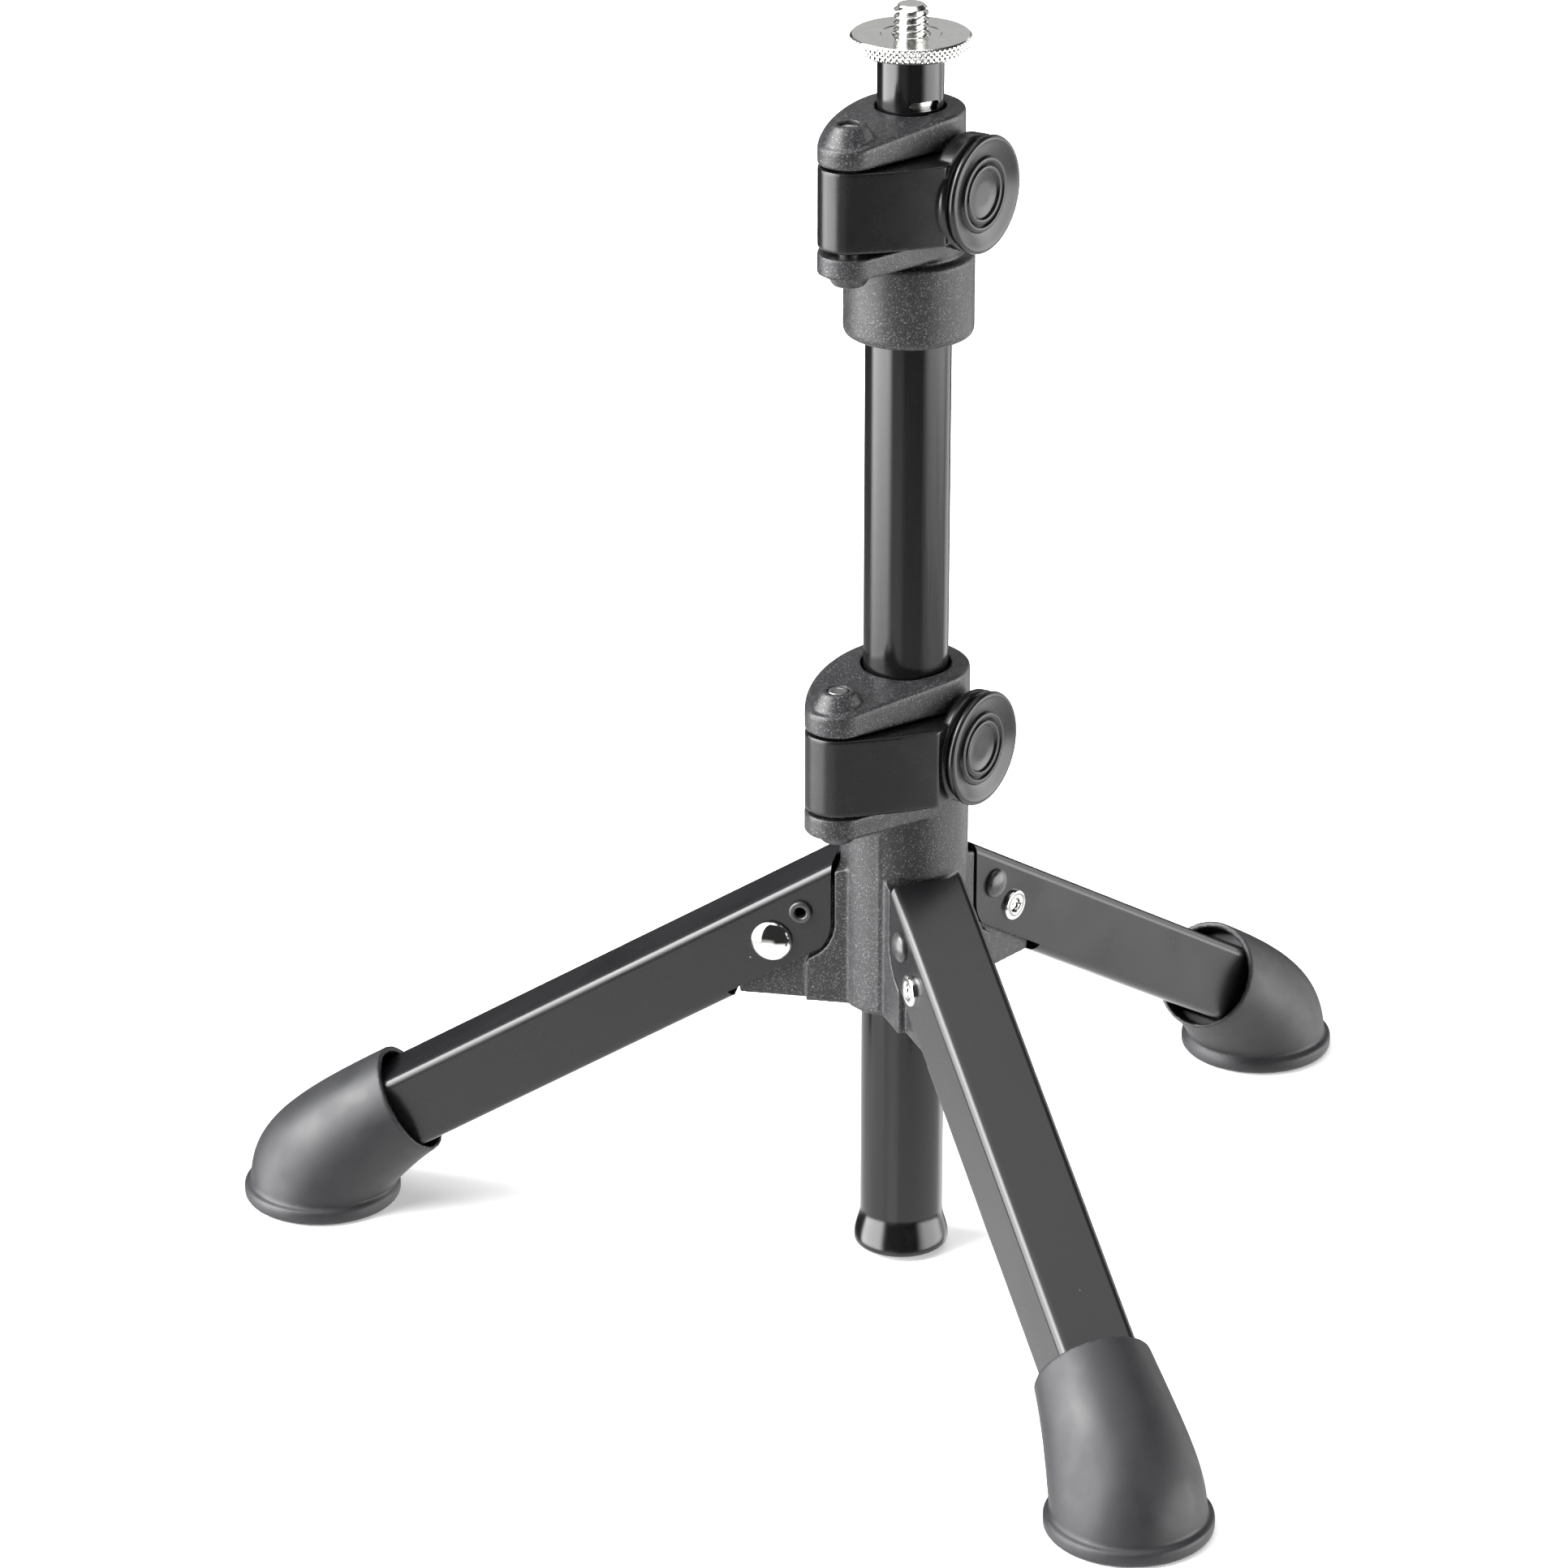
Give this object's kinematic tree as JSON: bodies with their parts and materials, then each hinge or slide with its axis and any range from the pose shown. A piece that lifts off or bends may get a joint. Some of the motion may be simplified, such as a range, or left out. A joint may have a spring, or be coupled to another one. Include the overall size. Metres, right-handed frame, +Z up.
{
  "type": "desktop microphone stand",
  "caption": "Folding desktop microphone stand: hinged tube legs in rubber boots, a mast held by quick-release clamps, and a threaded stud with a knurled locking nut.",
  "frame": {"origin": "centre of the stand's footprint, on the surface it stands on", "axes": "+Z up along the mast; -Y towards the front leg; +X to the right seen from the front"},
  "size_m": [0.2324, 0.2054, 0.2502],
  "materials": {
    "tube_black": "gloss black enamel on steel tube",
    "satin_black": "satin black powder coat on rectangular steel tube",
    "casting": "dark glass-filled nylon moulding with a fine sparkling grain",
    "lever_black": "smooth satin black moulding",
    "rubber": "matte black moulded rubber",
    "chrome": "bright nickel-chrome plate",
    "black_steel": "black oxide rivet",
    "steel": "ground steel pin",
    "nylon": "plain dark nylon"
  },
  "bodies": {
    "base": {"hub": "casting", "lower_hinge_pin": "steel"},
    "sleeve": {"mast_sleeve": "nylon"},
    "mast": {"main_tube": "tube_black", "upper_clamp_body": "casting", "stem_guide_ring": "nylon", "upper_hinge_pin": "steel"},
    "bush": {"inner_tube_bush": "nylon"},
    "stem": {"inner_tube": "tube_black", "threaded_stud": "chrome"},
    "nut": {"knurled_nut": "chrome"},
    "lower_lever": {"lower_lever": "lever_black", "lower_thumb_disc": "lever_black"},
    "lower_shoe": {"lower_clamp_shoe": "nylon"},
    "upper_lever": {"upper_lever": "lever_black", "upper_thumb_disc": "lever_black"},
    "upper_shoe": {"upper_clamp_shoe": "nylon"},
    "leg_front": {"leg_front": "satin_black", "foot_front": "rubber", "leg_pivot_front": "chrome", "stop_pin_front": "black_steel"},
    "leg_right": {"leg_right": "satin_black", "foot_right": "rubber", "leg_pivot_right": "chrome", "stop_pin_right": "black_steel"},
    "leg_left": {"leg_left": "satin_black", "foot_left": "rubber", "leg_pivot_left": "chrome", "stop_pin_left": "black_steel"}
  },
  "joints": [
    {"name": "mast_turn", "type": "hinge", "parent": "base", "child": "sleeve", "pos_m": [0, 0.02909, 0.085], "axis": [0, 0, 1], "continuous": true},
    {"name": "mast_slide", "type": "slide", "parent": "sleeve", "child": "mast", "axis": [0, 0, 1], "range_m": [0, 0.048]},
    {"name": "stem_slide", "type": "slide", "parent": "mast", "child": "bush", "axis": [0, 0, 1], "range_m": [-0.009, 0.12]},
    {"name": "stem_turn", "type": "hinge", "parent": "bush", "child": "stem", "pos_m": [0, 0.02909, 0.15], "axis": [0, 0, 1], "continuous": true},
    {"name": "nut_spin", "type": "hinge", "parent": "stem", "child": "nut", "pos_m": [0, 0.02909, 0.2433], "axis": [0, 0, 1], "continuous": true},
    {"name": "lower_lever_swing", "type": "hinge", "parent": "base", "child": "lower_lever", "pos_m": [-0.01746, 0.01833, 0.108], "axis": [0, 0, -1], "range_deg": [0, 110]},
    {"name": "lower_shoe_slide", "type": "slide", "parent": "base", "child": "lower_shoe", "axis": [-0.8513, -0.5246, 0], "range_m": [0, 0.0007]},
    {"name": "upper_lever_swing", "type": "hinge", "parent": "mast", "child": "upper_lever", "pos_m": [-0.01556, 0.0187, 0.217], "axis": [0, 0, -1], "range_deg": [0, 110]},
    {"name": "upper_shoe_slide", "type": "slide", "parent": "mast", "child": "upper_shoe", "axis": [-0.8316, -0.5553, 0], "range_m": [0, 0.0007]},
    {"name": "leg_front_fold", "type": "hinge", "parent": "base", "child": "leg_front", "pos_m": [0, 0.00489, 0.0661], "axis": [1, 0, 0], "range_deg": [0, 58]},
    {"name": "leg_right_fold", "type": "hinge", "parent": "base", "child": "leg_right", "pos_m": [0.02096, 0.04119, 0.0661], "axis": [-0.5, 0.866, 0], "range_deg": [0, 58]},
    {"name": "leg_left_fold", "type": "hinge", "parent": "base", "child": "leg_left", "pos_m": [-0.02096, 0.04119, 0.0661], "axis": [-0.5, -0.866, 0], "range_deg": [0, 58]}
  ],
  "couplings": [
    {"joint": "lower_shoe_slide", "follows": "lower_lever_swing", "m_per_rad": 0.0003125},
    {"joint": "upper_shoe_slide", "follows": "upper_lever_swing", "m_per_rad": 0.0003125}
  ]
}
